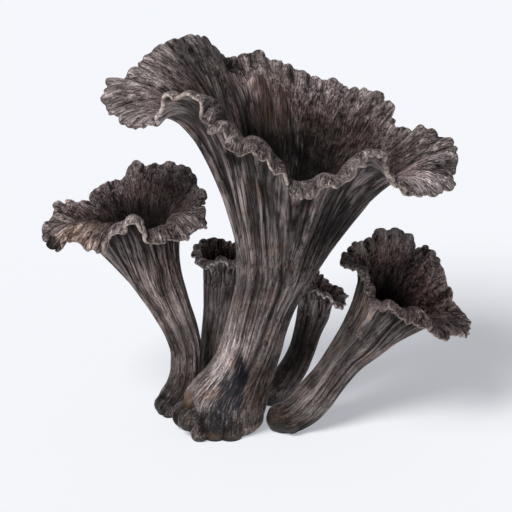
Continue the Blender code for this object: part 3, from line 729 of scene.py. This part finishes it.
def skins(trumpet):
    """The outer and the inner skin as grids of points, and what the materials read at each point."""
    u = np.arange(trumpet.around) / trumpet.around
    v = row_places(trumpet)
    flat_u, flat_v = np.tile(u, len(v)), np.repeat(v, len(u))
    shape = (len(v), len(u))
    grid = skin_at(trumpet, flat_u, flat_v).reshape(*shape, 3)
    grid = grid + grid_normals(grid) * wave_height(trumpet, flat_u, flat_v).reshape(*shape, 1)
    along = unit(np.gradient(grid, axis=0))
    grid = grid + along * scallop_reach(trumpet, flat_u, flat_v).reshape(*shape, 1)
    normals = grid_normals(grid)
    thinning = smooth_step((v - 0.3) / 0.55)
    bead = RIM_BEAD * trumpet.stem_wall * smooth_step((v - BEAD_FROM) / (1 - BEAD_FROM))
    wall = trumpet.stem_wall * (1 - thinning) + RIM_WALL * thinning + bead
    inner = grid - normals * wall[:, None, None]
    scales = scale_height(trumpet, flat_u, flat_v).reshape(*shape, 1)
    inner = inner - normals * scales * smooth_step((1 - v) / FOLD_FADE)[:, None, None]
    height, folds, crests = ridge_height(trumpet, flat_u, flat_v)
    outer = grid + normals * height.reshape(*shape, 1)
    outer[..., 2] = np.maximum(outer[..., 2], GROUND)
    if trumpet.stem[0][2] == GROUND:
        outer[0, :, 2] = GROUND
    steps = np.linalg.norm(np.diff(grid, axis=0), axis=2)
    to_rim = np.concatenate([np.cumsum(steps[::-1], axis=0)[::-1], np.zeros((1, len(u)))])
    hollows = hollowness(outer), hollowness(inner[:, ::-1])[:, ::-1]
    return u, v, outer, inner, along[-1], folds.reshape(shape), crests.reshape(shape), to_rim, hollows


def rings_of(trumpet):
    """Every ring of the trumpet's surface in order, from the ground up the outside, over the rim and down the
    hollow: its points, the way round and along the skin in mm, its share of the way to the rim, how far inside
    it is, its folds, its crests, its hollows, and how much of the pale edge it shows."""
    u, v, outer, inner, outward, folds, crests, to_rim, hollows = skins(trumpet)
    turn = trumpet.stem[-1][3] * np.column_stack([np.cos(2 * math.pi * u), np.sin(2 * math.pi * u)])
    length = to_rim[0].mean()
    frontal = smooth_step((0.25 - outward[:, 1]) / 0.7)
    frontal = frontal * smooth_step((outer[-1, :, 0] - trumpet.pale_from) / 5)
    rings = []

    def add(points, place, inside, row, hollow, step):
        grain = np.column_stack([turn, np.full(len(u), place * length)])
        fold, crest = folds[row], crests[row]
        edge = (1 - smooth_step((to_rim[row] - 0.15) / 0.45)) * max(1 - 1.3 * inside, 0.0)
        rise, side = np.full(len(u), place), np.full(len(u), inside)
        columns = (points, grain, rise, side, fold, crest, hollow, edge * frontal)
        rings.append([column[::step] for column in columns])

    for k, place in enumerate(v):
        add(outer[k], place, 0.0, k, hollows[0][k], 1 if place >= LIP_SHARE else 2)
    middle, half = (outer[-1] + inner[-1]) / 2, (outer[-1] - inner[-1]) / 2
    radius = np.linalg.norm(half, axis=1, keepdims=True)
    for k in range(1, EDGE_RINGS + 1):
        angle = math.pi * k / (EDGE_RINGS + 1)
        points = middle + half * math.cos(angle) + outward * radius * math.sin(angle)
        add(points, 1.0, 0.5 * k / (EDGE_RINGS + 1), -1, np.full(len(u), 0.45), 1)
    first = int(np.searchsorted(v, trumpet.hollow_from * STEM_SHARE))
    for k in range(len(v) - 1, first - 1, -1):
        step = 1 if v[k] >= LIP_SHARE else 2 if v[k] > STEM_SHARE else 4
        add(inner[k], v[k], 1.0, k, hollows[1][k], step)
    return rings


def band_faces(low, low_count, high, high_count):
    """Faces between two rings that start at those points: one may have twice as many points as the other."""
    faces = []
    count = min(low_count, high_count)
    for i in range(count):
        j = (i + 1) % count
        if low_count == high_count:
            faces.append((low + i, low + j, high + j, high + i))
        elif low_count < high_count:
            a, b, c = high + 2 * i, high + 2 * i + 1, high + 2 * j
            faces += [(low + i, low + j, b), (low + i, b, a), (low + j, c, b)]
        else:
            a, b, c = low + 2 * i, low + 2 * i + 1, low + 2 * j
            faces += [(a, b, high + i), (b, high + j, high + i), (b, c, high + j)]
    return faces


def add_attribute(mesh, name, kind, field, values):
    attribute = mesh.attributes.new(name, kind, "POINT")
    attribute.data.foreach_set(field, np.ascontiguousarray(values, np.float32).ravel())


def trumpet_mesh(trumpet):
    rings = rings_of(trumpet)
    counts = [len(ring[0]) for ring in rings]
    starts = np.concatenate([[0], np.cumsum(counts)]).astype(int)
    columns = (np.concatenate([ring[k] for ring in rings]) for k in range(8))
    points, grain, rise, inside, fold, crest, hollow, pale = columns
    faces = []
    for k in range(len(rings) - 1):
        faces += band_faces(int(starts[k]), counts[k], int(starts[k + 1]), counts[k + 1])
    foot, pit = len(points), len(points) + 1
    last = int(starts[-2])
    faces += [(foot, (i + 1) % counts[0], i) for i in range(counts[0])]
    faces += [(pit, last + i, last + (i + 1) % counts[-1]) for i in range(counts[-1])]
    ends = [rings[0][0].mean(axis=0), rings[-1][0].mean(axis=0)]
    ends[0][2] = rings[0][0][:, 2].min()
    mesh = bpy.data.meshes.new(trumpet.name)
    mesh.from_pydata(np.concatenate([points, ends]) * MM, [], faces)
    grain = np.concatenate([grain, [[0, 0, 0], [0, 0, grain[-1][2]]]])
    add_attribute(mesh, "grain", "FLOAT_VECTOR", "vector", grain)
    add_attribute(mesh, "inside", "FLOAT", "value", np.append(inside, [0.0, 1.0]))
    add_attribute(mesh, "rise", "FLOAT", "value", np.append(rise, [0.0, rise[-1]]))
    add_attribute(mesh, "fold", "FLOAT", "value", np.append(fold, [0.5, 0.5]))
    add_attribute(mesh, "crest", "FLOAT", "value", np.append(crest, [0.5, 0.5]))
    add_attribute(mesh, "hollow", "FLOAT", "value", np.append(hollow, [0.5, 0.5]))
    add_attribute(mesh, "pale", "FLOAT", "value", np.append(pale, [0.0, 0.0]))
    mesh.shade_smooth()
    return mesh


class Shader:
    """Adds nodes to a material, each input given as a value or as another node's output."""

    def __init__(self, name):
        self.material = bpy.data.materials.new(name)
        self.material.use_nodes = True
        self.tree = self.material.node_tree
        self.surface = self.tree.nodes["Principled BSDF"]

    def put(self, socket, value):
        if isinstance(value, bpy.types.NodeSocket):
            self.tree.links.new(value, socket)
        else:
            socket.default_value = value

    def add(self, kind, inputs, **settings):
        node = self.tree.nodes.new(kind)
        for key, value in settings.items():
            setattr(node, key, value)
        for key, value in inputs.items():
            self.put(node.inputs[key], value)
        return node

    def value(self, name):
        return self.add("ShaderNodeAttribute", {}, attribute_name=name).outputs["Fac"]

    def vector(self, name):
        return self.add("ShaderNodeAttribute", {}, attribute_name=name).outputs["Vector"]

    def place(self):
        """Where the point is on the object, in mm."""
        where = self.add("ShaderNodeTexCoord", {}).outputs["Object"]
        return self.scaled(where, (1 / MM,) * 3)

    def scaled(self, vector, scale, shift=(0, 0, 0)):
        inputs = {"Vector": vector, "Scale": scale, "Location": shift}
        return self.add("ShaderNodeMapping", inputs).outputs[0]

    def noise(self, vector, scale=1.0, detail=3.0, roughness=0.5, distortion=0.0):
        inputs = {"Vector": vector, "Scale": scale, "Detail": detail}
        inputs |= {"Roughness": roughness, "Distortion": distortion}
        return self.add("ShaderNodeTexNoise", inputs).outputs["Fac"]

    def math(self, operation, a, b=0.0, clamp=False):
        return self.add("ShaderNodeMath", {0: a, 1: b}, operation=operation, use_clamp=clamp).outputs[0]

    def range(self, value, low, high, to_low=0.0, to_high=1.0):
        """value's way from low to high as to_low to to_high, with smooth ends."""
        inputs = {"Value": value, "From Min": low, "From Max": high, "To Min": to_low, "To Max": to_high}
        return self.add("ShaderNodeMapRange", inputs, interpolation_type="SMOOTHSTEP").outputs[0]

    def blend(self, factor, a, b):
        return self.add("ShaderNodeMix", {0: factor, 2: a, 3: b}, data_type="FLOAT").outputs[0]

    def ramp(self, value, *stops):
        node = self.add("ShaderNodeValToRGB", {"Fac": value})
        while len(node.color_ramp.elements) < len(stops):
            node.color_ramp.elements.new(0.5)
        for element, (place, colour) in zip(node.color_ramp.elements, stops):
            element.position = place
            element.color = (*colour, 1.0)
        return node.outputs["Color"]

    def mix(self, factor, a, b, blend="MIX"):
        a, b = (c if isinstance(c, bpy.types.NodeSocket) else (*c, 1.0) for c in (a, b))
        node = self.add("ShaderNodeMix", {0: factor}, data_type="RGBA", blend_type=blend)
        self.put(node.inputs[6], a)
        self.put(node.inputs[7], b)
        return node.outputs[2]

    def sum(self, *parts):
        """The sum of (value, weight) pairs."""
        total = 0.0
        for value, weight in parts:
            inputs = {0: value, 1: weight, 2: total}
            total = self.add("ShaderNodeMath", inputs, operation="MULTIPLY_ADD").outputs[0]
        return total


def outside_colour(s, grain, place):
    """Ash-grey ridges and fibres with dark cracks between them, painted shade in the grooves between the
    ridges, and the height that goes with them.
    """
    up = s.range(s.value("rise"), 0.40, 0.72)
    low_streaks = s.noise(s.scaled(grain, (3.0, 3.0, 0.36)), detail=6, roughness=0.68, distortion=0.5)
    high_streaks = s.noise(s.scaled(grain, (4.6, 4.6, 0.045)), detail=4, roughness=0.62, distortion=0.25)
    streaks = s.blend(up, low_streaks, high_streaks)
    low_grain = s.scaled(grain, (1.3, 1.3, 0.17), (3, 5, 1))
    low_cracks = s.noise(low_grain, detail=4, roughness=0.65, distortion=0.6)
    fine_grain = s.scaled(grain, (3.6, 3.6, 0.42), (8, 2, 6))
    fine_cracks = s.noise(fine_grain, detail=3, roughness=0.6, distortion=0.7)
    high_grain = s.scaled(grain, (2.6, 2.6, 0.06), (3, 5, 1))
    high_cracks = s.noise(high_grain, detail=3, roughness=0.6, distortion=0.6)
    cracks = s.math("ABSOLUTE", s.math("SUBTRACT", s.blend(up, low_cracks, high_cracks), 0.5))
    scales = s.noise(s.scaled(grain, (3.6, 3.6, 0.9)), detail=4, roughness=0.68, distortion=1.2)
    patches = s.noise(place, scale=0.11, detail=3)
    # Lighter on the crests of the finer ridges, darker between them: painted shade of the relief.
    ridges = s.sum((s.value("crest"), s.blend(up, 0.5, 0.55)), (1.0, s.blend(up, 0.29, 0.23)))
    rough = s.sum((streaks, 1.0), (scales, 0.6), (1.0, -0.8))
    coarse = s.sum((1.0, 0.5), (s.range(s.value("rise"), 0.26, 0.14), 1.1))
    mottle = s.noise(place, scale=0.33, detail=3)
    grit = s.sum((s.noise(place, scale=1.7, detail=5, roughness=0.7), 1.0), (1.0, -0.5))
    earthy = s.range(s.value("rise"), 0.13, 0.03, 0.0, 2.8)
    shade = s.sum(
        (ridges, 1.0), (rough, coarse), (grit, earthy), (patches, 0.8), (mottle, 0.35), (1.0, -0.55)
    )
    colour = s.ramp(
        shade,
        (0.16, (0.030, 0.023, 0.022)),
        (0.37, (0.112, 0.086, 0.082)),
        (0.50, (0.255, 0.204, 0.194)),
        (0.66, (0.440, 0.366, 0.350)),
        (0.88, (0.690, 0.595, 0.574)),
    )
    grooves = s.range(cracks, s.blend(up, 0.034, 0.040), 0.0, 0.0, 0.85)
    colour = s.mix(grooves, colour, GROOVE_COLOUR)
    thin = s.range(s.math("ABSOLUTE", s.math("SUBTRACT", fine_cracks, 0.5)), 0.030, 0.0, 0.0, 1.0)
    colour = s.mix(s.math("MULTIPLY", thin, s.blend(up, 0.75, 0.0)), colour, THIN_CRACK_COLOUR)
    # Painted shade in the grooves between the widest ridges.
    folds = s.math("MULTIPLY", s.range(s.value("fold"), 0.5, 0.1), s.blend(up, 0.5, 0.38))
    colour = s.mix(folds, colour, GROOVE_SHADE_COLOUR)
    brown = s.range(s.noise(place, scale=0.16, detail=2), 0.52, 0.72, 0.0, 0.45)
    colour = s.mix(brown, colour, s.mix(1.0, colour, (1.0, 0.72, 0.52), "MULTIPLY"))
    bumps = s.math("MULTIPLY", grit, earthy)
    height = s.sum((streaks, 0.8), (scales, 0.4), (s.range(cracks, 0.0, 0.05), 0.15), (bumps, 0.35))
    return colour, height


def inside_colour(s, grain, place):
    """Fine pale wrinkles and scales on the lip, with painted shade that darkens them down into a near-black
    throat, and the height with them.
    """
    up = s.value("rise")
    fibres = s.noise(s.scaled(grain, (12.0, 12.0, 0.42)), detail=4, roughness=0.7, distortion=1.0)
    fleck_grain = s.scaled(grain, (11.0, 11.0, 1.8), (2, 7, 4))
    flecks = s.noise(fleck_grain, detail=3, roughness=0.65, distortion=1.0)
    coarse = s.noise(s.scaled(grain, (1.7, 1.7, 0.1)), detail=4, roughness=0.6, distortion=0.8)
    lines = s.noise(s.scaled(grain, (6.0, 6.0, 0.2)), detail=5, roughness=0.6, distortion=1.2)
    cracks = s.math("ABSOLUTE", s.math("SUBTRACT", lines, 0.5))
    patches = s.noise(place, scale=0.09, detail=3)
    mottle = s.noise(place, scale=0.4, detail=3)
    fine = s.sum((fibres, 1.85), (flecks, 1.05), (1.0, -1.45))
    crisp = s.range(up, 0.93, 0.98, 1.0, 0.7)
    grey = s.sum((fine, crisp), (coarse, 0.4), (patches, 0.7), (mottle, 0.5), (1.0, -0.255))
    lip = s.ramp(
        grey,
        (0.20, (0.032, 0.024, 0.023)),
        (0.38, (0.125, 0.097, 0.094)),
        (0.50, (0.285, 0.230, 0.223)),
        (0.64, (0.500, 0.420, 0.408)),
        (0.84, (0.800, 0.700, 0.685)),
    )
    lip = s.mix(s.range(cracks, 0.05, 0.0, 0.0, 0.75), lip, LIP_CRACK_COLOUR)
    # Painted shade: the lip darkens below the rim and then to near-black down the throat.
    colour = s.mix(s.range(up, 0.98, 0.84), lip, s.mix(1.0, lip, (0.52, 0.45, 0.44), "MULTIPLY"))
    colour = s.mix(s.range(up, 0.86, 0.62), colour, THROAT_SHADE_COLOUR)
    height = s.sum((fibres, 1.2), (flecks, 0.7), (coarse, 0.6), (s.range(cracks, 0.0, 0.06), 0.25))
    return colour, height


def nearness(s, place, centre, radii, ragged, high, low):
    """1 inside an ellipsoid with ragged edges and 0 outside."""
    scale = tuple(1 / r for r in radii)
    shift = tuple(-c / r for c, r in zip(centre, radii))
    offset = s.scaled(place, scale, shift)
    away = s.add("ShaderNodeVectorMath", {0: offset}, operation="LENGTH").outputs["Value"]
    return s.range(s.sum((away, 1.0), (ragged, 1.3), (1.0, -0.65)), high, low)


def painted_light_shade_and_stains(s, trumpet, colour, grain, place):
    """The colour with the trumpet's places of painted light and shade and its stains, ragged along the grain.
    """
    streaks = s.noise(s.scaled(grain, (1.5, 1.5, 0.16)), detail=4, roughness=0.65, distortion=0.5)
    ragged = s.sum((s.noise(place, scale=0.35, detail=4, roughness=0.65), 0.5), (streaks, 1.3), (1.0, -0.4))
    # Places of painted light and shade, and the feet's darker brown.
    for centre, radii, gain in trumpet.painted_light_shade_and_tone:
        near = nearness(s, place, centre, radii, ragged, 1.5, 0.2)
        colour = s.mix(near, colour, s.mix(1.0, colour, gain, "MULTIPLY"))
    broken = s.range(streaks, 0.36, 0.48, 0.5, 1.0)
    # Stains, and painted shade where the stems meet the ground.
    for centre, radii, tint, strength in trumpet.stains:
        near = s.math("MULTIPLY", nearness(s, place, centre, radii, ragged, 1.15, 0.55), strength)
        colour = s.mix(s.math("MULTIPLY", near, broken), colour, tint)
    return colour


def flesh(trumpet):
    s = Shader(trumpet.name)
    grain, place, inside = s.vector("grain"), s.place(), s.value("inside")
    outer, outer_height = outside_colour(s, grain, place)
    inner, inner_height = inside_colour(s, grain, place)
    turned = s.range(inside, 0.3, 0.7)
    colour = s.mix(turned, outer, inner)
    above = s.range(s.value("rise"), 0.35, 0.7, 0.4, 1.0)
    at_foot = s.range(s.value("rise"), 0.1, 0.06, 0.0, 0.4)
    open_air = s.sum((above, 1.0), (at_foot, 1.0))
    # Painted shade in the creases and hollows and a painted highlight on the bulges, on the upper skin and at
    # the foot.
    painted_crease_shade = s.math("MULTIPLY", s.range(s.value("hollow"), 0.50, 0.66, 0.0, 0.75), open_air)
    colour = s.mix(painted_crease_shade, colour, CREASE_SHADE_COLOUR)
    painted_bulge_light = s.math("MULTIPLY", s.range(s.value("hollow"), 0.49, 0.34, 0.0, 1.0), open_air)
    colour = s.mix(painted_bulge_light, colour, s.mix(1.0, colour, (1.5, 1.5, 1.5), "MULTIPLY"))
    colour = painted_light_shade_and_stains(s, trumpet, colour, grain, place)
    uneven = s.range(s.noise(place, scale=0.5), 0.25, 0.6)
    colour = s.mix(s.math("MULTIPLY", s.value("pale"), uneven), colour, EDGE_COLOUR)
    s.put(s.surface.inputs["Base Color"], colour)
    damp = s.range(s.value("rise"), 0.13, 0.04, 0.0, 0.3)
    dull = s.range(s.noise(place, scale=0.5, detail=3), 0.3, 0.7, 0.5, 0.8)
    s.put(s.surface.inputs["Roughness"], s.sum((dull, 1.0), (damp, -1.0)))
    s.put(s.surface.inputs["Specular IOR Level"], s.sum((damp, 1.0), (1.0, 0.14)))
    height = s.blend(turned, outer_height, inner_height)
    bump = s.add("ShaderNodeBump", {"Height": height, "Strength": 1.0, "Distance": BUMP_DISTANCE * MM})
    s.put(s.surface.inputs["Normal"], bump.outputs["Normal"])
    return s.material


def make_trumpet(trumpet):
    piece = bpy.data.objects.new(trumpet.name + "_skin", trumpet_mesh(trumpet))
    bpy.context.scene.collection.objects.link(piece)
    piece.data.materials.append(flesh(trumpet))
    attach(piece, "root")
    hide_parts(trumpet.name)


def make_floor():
    bpy.ops.mesh.primitive_plane_add(size=6.0, location=(0, 0, 0))
    floor = bpy.context.object
    floor.name = "floor"
    s = Shader("pale floor")
    s.surface.inputs["Base Color"].default_value = (0.60, 0.605, 0.62, 1)
    s.surface.inputs["Emission Color"].default_value = (0.90, 0.935, 1.0, 1)
    s.surface.inputs["Emission Strength"].default_value = FLOOR_GLOW
    s.surface.inputs["Roughness"].default_value = 0.9
    s.surface.inputs["Specular IOR Level"].default_value = 0.0
    floor.data.materials.append(s.material)


def aimed(thing, place, target):
    """Puts a light or a camera at place, looking at target."""
    made = bpy.data.objects.new(thing.name, thing)
    bpy.context.scene.collection.objects.link(made)
    made.location = place
    made.rotation_euler = (Vector(target) - Vector(place)).to_track_quat("-Z", "Y").to_euler()
    return made


def make_light():
    """An even pale dome, and a wide soft sun from the upper left."""
    world = bpy.data.worlds.new("studio")
    world.use_nodes = True
    world.node_tree.nodes["Background"].inputs["Color"].default_value = (0.98, 0.99, 1.0, 1)
    world.node_tree.nodes["Background"].inputs["Strength"].default_value = WORLD_STRENGTH
    bpy.context.scene.world = world
    sun = bpy.data.lights.new("soft sun", "SUN")
    sun.energy = SUN_STRENGTH
    sun.angle = math.radians(SUN_WIDTH)
    aimed(sun, (-0.5, -0.5, 0.8), (0, 0, 0.03))


def make_camera():
    """Looks along +Y, 22 degrees down, from 600 mm, with 128 mm across the picture at the target."""
    camera = bpy.data.cameras.new("camera")
    distance, width, elevation = 0.6, 0.128, math.radians(22)
    camera.sensor_width = 36
    camera.lens = 36 * distance / width
    target = Vector((0.0085, 0.0, 0.047))
    back = Vector((0, -math.cos(elevation), math.sin(elevation)))
    bpy.context.scene.camera = aimed(camera, target + back * distance, target)


def main():
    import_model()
    for trumpet in TRUMPETS:
        make_trumpet(trumpet)
    make_floor()
    make_light()
    make_camera()
    bpy.context.scene.view_settings.view_transform = "Standard"


main()
